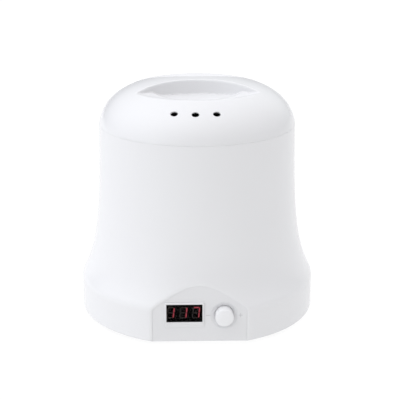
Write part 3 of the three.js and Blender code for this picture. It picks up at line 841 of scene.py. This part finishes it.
def vent_cutter(angle):
    """A stepped bore, flared at the dome's surface and squashed along its slope."""
    rise = math.radians(VENT_SLOPE)
    wide = VENT_R + 1.5
    profile = [
        (0, -VENT_DEPTH),
        (wide, -VENT_DEPTH),
        (wide, -1.6),
        (VENT_R, -1.6),
        (VENT_R, -0.2),
        (VENT_R + 0.5, 0.3),
        (wide, 3),
        (0, 3),
    ]
    cutter = lathe("vent", profile, segments=48)
    side = Vector((-math.sin(angle), math.cos(angle), 0))
    out = Vector((math.cos(angle) * math.cos(rise), math.sin(angle) * math.cos(rise), math.sin(rise)))
    place = Matrix((side, out.cross(side) / VENT_SQUASH, out)).transposed().to_4x4()
    at = Vector((VENT_AT_R * math.cos(angle), VENT_AT_R * math.sin(angle), VENT_AT_Z))
    place.translation = at * MM
    cutter.matrix_world = place
    return settle(cutter)


def lid_field(x, y, z):
    """How far a point lies outside the untrimmed lid, with z measured from the lid's lower edge."""
    open_space = round_max(dish(x, y, z), -blade(x, y, z), 0.8)
    bulk = round_max(dome(x, y, z), -open_space, 1.0)
    solid = np.maximum(bulk, -z - 1)
    solid = np.maximum(solid, -(bulk + LID_WALL))
    r = np.hypot(x, y)
    across = np.abs(r - SKIRT_MID_R) - SKIRT_HALF_T
    up = np.abs(z + SKIRT_DROP / 2 - SKIRT_HALF_T) - SKIRT_DROP / 2 - SKIRT_HALF_T
    skirt = np.maximum(across, up)
    across = np.abs(r - FLANGE_MID_R) - FLANGE_HALF_W
    flange = np.maximum(across, np.abs(z - FLANGE_HALF_T) - FLANGE_HALF_T)
    return np.minimum(solid, np.minimum(skirt, flange))


def add_lid():
    """The lid's surface from its field, with its lower edge and its vents cut clean."""
    reach = DOME_R + 0.5
    low = (-reach, -reach, -SKIRT_DROP)
    high = (reach, reach, LID_HIGH.z - LID_Z)
    lid = surface_net("lid_shell", lid_field, low, high, LID_STEP)
    trim = [(TRIM_R, -2), (reach + 1, -2), (reach + 1, 0), (TRIM_R, 0)]
    cutters = [lathe("trim", trim, closed=True, segments=192)]
    for middle in (-90, 90):
        for n in (-1, 0, 1):
            cutters.append(vent_cutter(math.radians(middle + VENT_TURN + n * VENT_STEP)))
    carve(lid, *cutters)
    lid.location.z = LID_Z * MM
    settle(lid)
    shown(lid, PAINT["housing_plastic"], "lid", ["lid"], sharp=50)


# ---- Control face ----


def add_panel():
    """An arched plate with a raised surround to its window, and a dished well and a cup for the knob."""
    half_w, half_h = WINDOW_HALF_W, WINDOW_HALF_H

    def window(margin, below=None, radius=0.5):
        low = (WINDOW_X - half_w - margin, WINDOW_Z - half_h - (margin if below is None else below))
        high = (WINDOW_X + half_w + margin, WINDOW_Z + half_h + margin)
        return rounded_box(low, high, radius)

    plate = loft(
        "panel",
        [
            facing(arch(2.04, SHELL_Z), PANEL_BACK_Y),
            facing(arch(2.04, SHELL_Z), PANEL_Y + 0.1),
            facing(arch(2.14, SHELL_Z + 0.1), PANEL_Y),
        ],
    )
    surround = loft(
        "surround",
        [
            facing(window(1.5, 4.9, 0.8), PANEL_Y + 1),
            facing(window(1.5, 4.9, 0.8), PANEL_Y - 0.35),
            facing(window(1.2, 1.9, 0.6), PANEL_Y - 1),
            facing(window(1.0, 1.6, 0.4), PANEL_Y - 1.2),
        ],
    )
    cup_r = KNOB_R + 2.1
    cup_back = CUP_FLOOR_Y + 1.5
    front = PANEL_BACK_Y - 1
    boss = lathe("boss", rounded([(0, front), (cup_r, front), (cup_r, cup_back, 0.8), (0, cup_back)]))
    recess = [
        (0, PANEL_Y - 1),
        (KNOB_DISH_R + 0.6, PANEL_Y - 1),
        (KNOB_DISH_R, PANEL_Y, 1.5),
        (KNOB_R + 2.2, PANEL_Y + 0.8, 2.5),
        (KNOB_R + 0.7, PANEL_Y + 1.8, 1),
        (KNOB_R + 0.2, PANEL_Y + 2, 0.2),
        (KNOB_R + 0.2, CUP_FLOOR_Y, 0.3),
        (0, CUP_FLOOR_Y),
    ]
    well = lathe("well", rounded(recess), segments=96)
    for turned in (boss, well):
        turned.matrix_world = knob_axis()
        settle(turned)
    weld(plate, surround, boss)
    sight = loft(
        "sight",
        [
            facing(window(0.3, radius=0.5), PANEL_Y - 2),
            facing(window(0.3, radius=0.5), PANEL_Y - 1.2),
            facing(window(0, radius=0.3), PANEL_Y - 0.9),
            facing(window(0, radius=0.3), PANEL_BACK_Y + 1),
        ],
    )
    flange = window(1.2)
    rebate = loft("rebate", [facing(flange, LENS_HIGH.y - 1.6), facing(flange, PANEL_BACK_Y + 1)])
    carve(plate, sight, rebate, well)
    shown(plate, PAINT["panel_plastic"], "base", ["control_panel"], sharp=28)


def knob_axis():
    """Turns a lathe's Z axis to lie along Y through the knob, its heights becoming depths."""
    turn = Matrix.Rotation(-math.pi / 2, 4, "X")
    return Matrix.Translation((KNOB_X * MM, 0, KNOB_Z * MM)) @ turn


def add_knob():
    """A plain knob with a slightly domed face, and a bore behind it for the encoder's shaft."""
    front, rear = KNOB_LOW.y, KNOB_HIGH.y
    bore_r, bore_end = 3.4, rear - 9.5
    profile = [
        (0, front),
        (KNOB_R * 0.45, front + 0.08, 6),
        (KNOB_R * 0.8, front + 0.5, 3),
        (KNOB_R, front + 1.1, 1.6),
        (KNOB_R, rear, 0.3),
        (bore_r, rear, 0.2),
        (bore_r, bore_end),
        (0, bore_end),
    ]
    knob = lathe("knob", rounded(profile), segments=96)
    knob.matrix_world = knob_axis()
    settle(knob)
    shown(knob, PAINT["knob_plastic"], "knob", ["control_knob"])


def add_marks():
    """A minus to the left of the knob and a plus to its right, printed on the panel."""
    y0, y1 = PANEL_Y - 0.07, PANEL_Y + 0.2
    length, half = 1.7, 0.28

    def bar(x, half_w, low, high):
        return softened_block("bar", (x - half_w, y0, KNOB_Z + low), (x + half_w, y1, KNOB_Z + high), 0.05)

    bars = [bar(KNOB_X + side * MARK_REACH, length, -half, half) for side in (-1, 1)]
    for low, high in ((half + 0.02, length), (-length, -half - 0.02)):
        bars.append(bar(KNOB_X + MARK_REACH, half, low, high))
    marks = gather("knob_marks", bars)
    shown(marks, PRINT_GREY, "base")


def segment_bar(name, start, end, half, y):
    """One bar of a digit: a long hexagon from start to end, standing out of the display's face."""
    a, b = Vector(start), Vector(end)
    along = (b - a).normalized()
    across = Vector((-along.y, along.x)) * half
    near, far = a + along * half, b - along * half
    outline = [tuple(p) for p in (a, near + across, far + across, b, far - across, near - across)]
    return loft(name, [facing(outline, y + 0.15), facing(outline, y - 0.04)])


DIGIT_H = 8.9
DIGIT_W = 5
DIGIT_PITCH = 10.25
DIGIT_LEAN = 0.11
DIGIT_SHIFT = Vector((-0.85, -0.8))
BAR_HALF = 0.5
BAR_GAP = 0.16
READING = "117"
SEGMENTS = {
    "a": ((0, 1), (1, 1)),
    "b": ((1, 1), (1, 0.5)),
    "c": ((1, 0.5), (1, 0)),
    "d": ((0, 0), (1, 0)),
    "e": ((0, 0.5), (0, 0)),
    "f": ((0, 1), (0, 0.5)),
    "g": ((0, 0.5), (1, 0.5)),
}
DIGITS = {"1": "bc", "7": "abc"}


def add_display():
    """A black module with lit and unlit bars on its face, behind a lens that fills the window."""
    y = LED_LOW.y
    case = softened_block("display_case", LED_LOW, LED_HIGH, 0.3)
    shown(case, PAINT["display_plastic"], "base", ["led_display"])
    lit, unlit = [], []
    for place, digit in enumerate(READING):
        centre = WINDOW_X + DIGIT_SHIFT.x + (place - 1) * DIGIT_PITCH
        for key, ends in SEGMENTS.items():
            points = []
            for u, v in ends:
                height = (v - 0.5) * DIGIT_H
                across = (u - 0.5) * DIGIT_W + height * DIGIT_LEAN
                points.append(Vector((centre + across, WINDOW_Z + DIGIT_SHIFT.y + height)))
            along = (points[1] - points[0]).normalized() * BAR_GAP
            bar = segment_bar("bar", points[0] + along, points[1] - along, BAR_HALF, y)
            (lit if key in DIGITS[digit] else unlit).append(bar)
    shown(gather("display_lit_bars", lit), LIT_RED, "base")
    shown(gather("display_unlit_bars", unlit), UNLIT, "base")
    flange_low = (LENS_LOW.x, LENS_HIGH.y - 1.5, LENS_LOW.z)
    lens = softened_block("display_window", flange_low, LENS_HIGH, 0.12)
    half_w, half_h = WINDOW_HALF_W - 0.12, WINDOW_HALF_H - 0.12
    low = (WINDOW_X - half_w, LENS_LOW.y, WINDOW_Z - half_h)
    high = (WINDOW_X + half_w, LENS_HIGH.y - 1, WINDOW_Z + half_h)
    weld(lens, softened_block("lens_block", low, high, 0.15))
    shown(lens, PAINT["lens_plastic"], "base", ["display_lens"])


# ---- Well, pot and bail ----


def cup(name, low, high, radius, wall):
    """A drawn cup with soft bends and a flange that fills the box from low to high."""
    bottom, top, flange_r = low.z, high.z, high.x
    profile = [
        (0, bottom),
        (radius, bottom, 5),
        (radius, top - wall, 0.9),
        (flange_r, top - wall, 0.5),
        (flange_r, top, 0.5),
        (radius - wall, top, 2),
        (radius - wall, bottom + wall, 4),
        (0, bottom + wall),
    ]
    return lathe(name, rounded(profile, steps=8), segments=192)


def add_well_and_pot():
    well = cup("well_liner", WELL_LOW, WELL_HIGH, WELL_R, WELL_T)
    shown(well, PAINT["drawn_aluminium"], "base", ["heating_well"])
    pot = cup("pot", POT_LOW, POT_HIGH, POT_R, POT_T)
    shown(pot, PAINT["drawn_aluminium"], "pot", ["inner_pot"])
    for side, node in ((-1, "pot_ear_left"), (1, "pot_ear_right")):
        add_ear(side, node)
    add_bail()


def add_ear(side, node):
    """A pivot tab on a riveted foot, made for the right side and mirrored to the left."""
    low, high = EAR_LOW, EAR_HIGH
    half = EAR_HALF_W
    angles = [math.pi * i / 24 for i in range(25)]
    arc = [(half * math.cos(a), PIVOT_Z + half * math.sin(a)) for a in angles]
    outline = [(-half, low.z + 0.3), (half, low.z + 0.3), *arc]
    inner = [(y * 0.96, PIVOT_Z + (z - PIVOT_Z) * 0.97) for y, z in outline]

    def upright(points, x):
        return [(x, y, z) for y, z in points]

    x0, x1 = high.x - EAR_T, high.x
    sections = [(inner, x0), (outline, x0 + 0.15), (outline, x1 - 0.15), (inner, x1)]
    tab = loft(f"{node}_tab", [upright(points, x) for points, x in sections])
    top = low.z + EAR_T
    foot = softened_block("ear_foot", (low.x, low.y, low.z), (high.x - 0.1, high.y, top), 0.2, 1)
    weld(tab, foot)
    bore_r = BAIL_WIRE_R + 0.4
    bore = lathe("bore", [(0, x0 - 1), (bore_r, x0 - 1), (bore_r, x1 + 1), (0, x1 + 1)], segments=32)
    bore.matrix_world = Matrix.Translation((0, 0, PIVOT_Z * MM)) @ Matrix.Rotation(math.pi / 2, 4, "Y")
    settle(bore)
    carve(tab, bore)
    head = rounded([(0, top - 0.4), (1.1, top - 0.4), (1.1, top + 0.25, 0.3), (0, top + 0.5)])
    rivets = []
    for y in (-EAR_HALF_W, EAR_HALF_W):
        rivet = lathe("rivet", head, segments=24)
        rivet.location = Vector((low.x + 1.7, y, 0)) * MM
        rivets.append(settle(rivet))
    weld(tab, *rivets)
    if side < 0:
        tab.scale.x = -1
        settle(tab)
        tab.data.flip_normals()
    shown(tab, PAINT["steel_parts"], "pot", [node])


def add_bail():
    """A half hoop of wire whose ends turn out through the ears, lying just over the pot's rim."""
    angles = np.radians(np.linspace(174, 6, 61))
    arc = [(BAIL_R * math.cos(a), BAIL_R * math.sin(a)) for a in angles]
    reach = EAR_HIGH.x + 2.4
    bend = BAIL_R - 0.1
    plan = rounded([(-reach, 0), (-bend, 0, 3), *arc, (bend, 0, 3), (reach, 0)], steps=8)
    rest = math.asin((PIVOT_Z - POT_HIGH.z - 0.3 - BAIL_WIRE_R) / BAIL_R)
    path = [(x, y * math.cos(rest), PIVOT_Z - y * math.sin(rest)) for x, y in plan]
    bail = tube("bail", path, BAIL_WIRE_R)
    shown(bail, PAINT["steel_parts"], "bail", ["bail_handle"])


# ---- Underside and inlet ----


def centre_of(node):
    low, high = box_mm(node)
    return (low + high) / 2


def screw_solid(name, head_r, head_h, shank_r, length):
    """A pan-head screw with a cross recess: its head is below zero, and its shank above it."""
    profile = [
        (0, -head_h),
        (head_r * 0.8, -head_h, head_h * 0.8),
        (head_r, -head_h * 0.35, 0.3),
        (head_r, 0, 0.1),
        (shank_r, 0),
        (shank_r, length - shank_r),
        (0, length),
    ]
    screw = lathe(name, rounded(profile), segments=32)
    arm, half = head_r * 0.55, head_r * 0.11
    cross = []
    for i in range(4):
        cos, sin = math.cos(math.pi / 2 * i), math.sin(math.pi / 2 * i)
        for u, v in ((arm, -half), (arm, half), (half, half)):
            cross.append((u * cos - v * sin, u * sin + v * cos))
    taper = [(x * 0.55, y * 0.55) for x, y in cross]
    recess = loft("recess", [flat(cross, -head_h - 0.1), flat(taper, -head_h * 0.35)])
    return carve(screw, recess)


def add_screws():
    """Each kind has its head's radius and height, its shank's radius and length, and its turn."""
    kinds = {
        "base_screw": (3.6, 1.1, 1.7, 14, Matrix.Identity(4)),
        "board_screw": (2.5, 1.4, 1, 7, Matrix.Rotation(math.pi / 2, 4, "X")),
        "power_screw": (2.5, 1.4, 1, 6.5, Matrix.Rotation(math.pi, 4, "X")),
    }
    for kind, (head_r, head_h, shank_r, length, turn) in kinds.items():
        centred = turn @ Matrix.Translation((0, 0, -(length - head_h) / 2 * MM))
        for node in (f"{kind}_{i}" for i in range(1, 5)):
            screw = screw_solid(f"{node}_detail", head_r, head_h, shank_r, length)
            screw.matrix_world = Matrix.Translation(centre_of(node) * MM) @ centred
            settle(screw)
            shown(screw, PAINT["steel_parts"], "base", [node])


def add_feet():
    """Push-in rubber feet: a pad with a hollow underneath, a neck through the plate, and a barb over it."""
    under = PLATE_LOW.z - 0.3
    top = PLATE_TOP + 0.3
    for i in range(1, 5):
        node = f"foot_{i}"
        profile = [
            (0, 0.5),
            (4.5, 0.5),
            (5, 0, 0.3),
            (8.1, 0, 0.8),
            (9, under, 0.5),
            (2.9, under),
            (2.9, top),
            (4, top, 0.3),
            (2.6, top + 2, 0.5),
            (0, top + 2),
        ]
        foot = lathe(f"{node}_pad", rounded(profile), segments=64)
        centre = centre_of(node)
        foot.location = Vector((centre.x, centre.y, 0)) * MM
        settle(foot)
        shown(foot, PAINT["foot_rubber"], "base", [node])


def turned_at(centres, profile):
    """The same upright turned solid at each of the centres."""
    found = []
    for centre in centres:
        solid = lathe("turned", profile, segments=32)
        solid.location = Vector((centre.x, centre.y, 0)) * MM
        found.append(settle(solid))
    return found


def add_bottom_plate():
    """A flat plate with standoffs and post sockets on top, sunk screw holes, foot holes and air slots."""
    low, top = PLATE_LOW.z, PLATE_TOP
    radius = PLATE_HIGH.x
    angles = [TURN * i / 180 for i in range(180)]
    front, rear = PLATE_LOW.y, PLATE_HIGH.y

    def rim(inset):
        points = []
        for a in angles:
            y = (radius - inset) * math.sin(a)
            points.append(((radius - inset) * math.cos(a), min(max(y, front + inset), rear - inset)))
        return points

    plate = loft("underside", [flat(rim(0.5), low), flat(rim(0), low + 0.5), flat(rim(0), top)])
    posts = [centre_of(f"support_post_{i}") for i in (1, 2, 3)]
    board_screws = [centre_of(f"power_screw_{i}") for i in range(1, 5)]
    base_screws = [centre_of(f"base_screw_{i}") for i in range(1, 5)]
    feet = [centre_of(f"foot_{i}") for i in range(1, 5)]
    standoff = [(0, top - 0.5), (3, top - 0.5), (3, BOARD_Z - 0.3, 0.3), (0, BOARD_Z - 0.3)]
    socket = [(0, top - 0.5), (6, top - 0.5), (6, top + 4, 0.5), (0, top + 4)]
    weld(plate, *turned_at(board_screws, rounded(standoff)), *turned_at(posts, rounded(socket)))
    head_top = low + 1.5
    sink = [(0, 0), (4.4, 0), (4, low + 0.3), (4, head_top), (2, head_top), (2, top + 1), (0, top + 1)]
    cutters = turned_at(base_screws, sink)
    for centres, hole_r, bottom, end in (
        (board_screws, 1.5, top + 1, BOARD_Z + 1),
        (posts, 4.3, top, top + 5),
        (feet, 3.2, 0, top + 1),
    ):
        cutters += turned_at(centres, [(0, bottom), (hole_r, bottom), (hole_r, end), (0, end)])
    for n in (-2.5, -1.5, -0.5, 0.5, 1.5, 2.5):
        slot = rounded_box((n * 12 - 1.8, -14), (n * 12 + 1.8, 14), 1.79)
        cutters.append(loft("air_slot", [flat(slot, 0), flat(slot, top + 1)]))
    carve(plate, *cutters)
    shown(plate, PAINT["panel_plastic"], "base", ["bottom_plate"])


def add_inlet():
    """A mains socket with a flange outside the housing's rear flat, and its three flat pins."""
    middle_z = (INLET_LOW.z + INLET_HIGH.z) / 2
    back, face = INLET_LOW.y, INLET_HIGH.y

    def placed(outline, y):
        return [(x, y, z + middle_z) for x, z in outline]

    flange_wide = rounded_box((-15.4, -11.9), (15.4, 11.9), 3)
    flange_narrow = rounded_box((-14.9, -11.4), (14.9, 11.4), 2.6)
    flange = [(flange_wide, REAR_Y + 0.3), (flange_wide, face - 0.5), (flange_narrow, face)]
    socket = loft("socket", [placed(outline, y) for outline, y in flange])
    body = rounded_box((-13.5, -9.9), (13.5, 9.9), 1.5)
    weld(socket, loft("socket_body", [placed(body, back), placed(body, REAR_Y + 0.8)]))
    half_w, half_h = 12.2, 8.3
    mouth = [(-half_w, -half_h, 1), (half_w, -half_h, 1)]
    mouth += [(half_w, 3, 0.8), (7, half_h, 0.8), (-7, half_h, 0.8), (-half_w, 3, 0.8)]
    straight = rounded(mouth, closed=True)
    flared = [(x * 1.04, z * 1.05) for x, z in straight]
    cavity_y = 81
    steps = [placed(straight, cavity_y), placed(straight, face - 0.5), placed(flared, face + 0.1)]
    cutters = [loft("cavity", steps)]
    pins = {"inlet_pin_live": (-7, -1.5), "inlet_pin_neutral": (7, -1.5), "inlet_pin_earth": (0, 2.5)}
    half_w, half_h = PIN_HALF_W + 0.3, PIN_HALF_H + 0.3
    for x, z in pins.values():
        gap = rounded_box((x - half_w, z - half_h), (x + half_w, z + half_h), 0.2)
        cutters.append(loft("gap", [placed(gap, back - 1), placed(gap, cavity_y + 1)]))
    carve(socket, *cutters)
    shown(socket, PAINT["black_plastic"], "base", ["inlet_socket"])
    for node, (x, z) in pins.items():
        low, high = box_mm(node)
        wide = rounded_box((x - PIN_HALF_W, z - PIN_HALF_H), (x + PIN_HALF_W, z + PIN_HALF_H), 0.3)
        tip = rounded_box((x - 0.45, z - 1.5), (x + 0.45, z + 1.5), 0.2)
        sections = [placed(wide, low.y), placed(wide, high.y - 1.6), placed(tip, high.y)]
        pin = loft(f"{node}_blade", sections)
        shown(pin, PAINT["brass_pins"], "base", [node])


# ---- Run ----

add_camera()
add_world()
add_floor()
finish_nodes()
add_housing()
add_lid()
add_panel()
add_knob()
add_marks()
add_display()
add_well_and_pot()
add_bottom_plate()
add_feet()
add_screws()
add_inlet()
bpy.context.scene.view_settings.view_transform = "Standard"
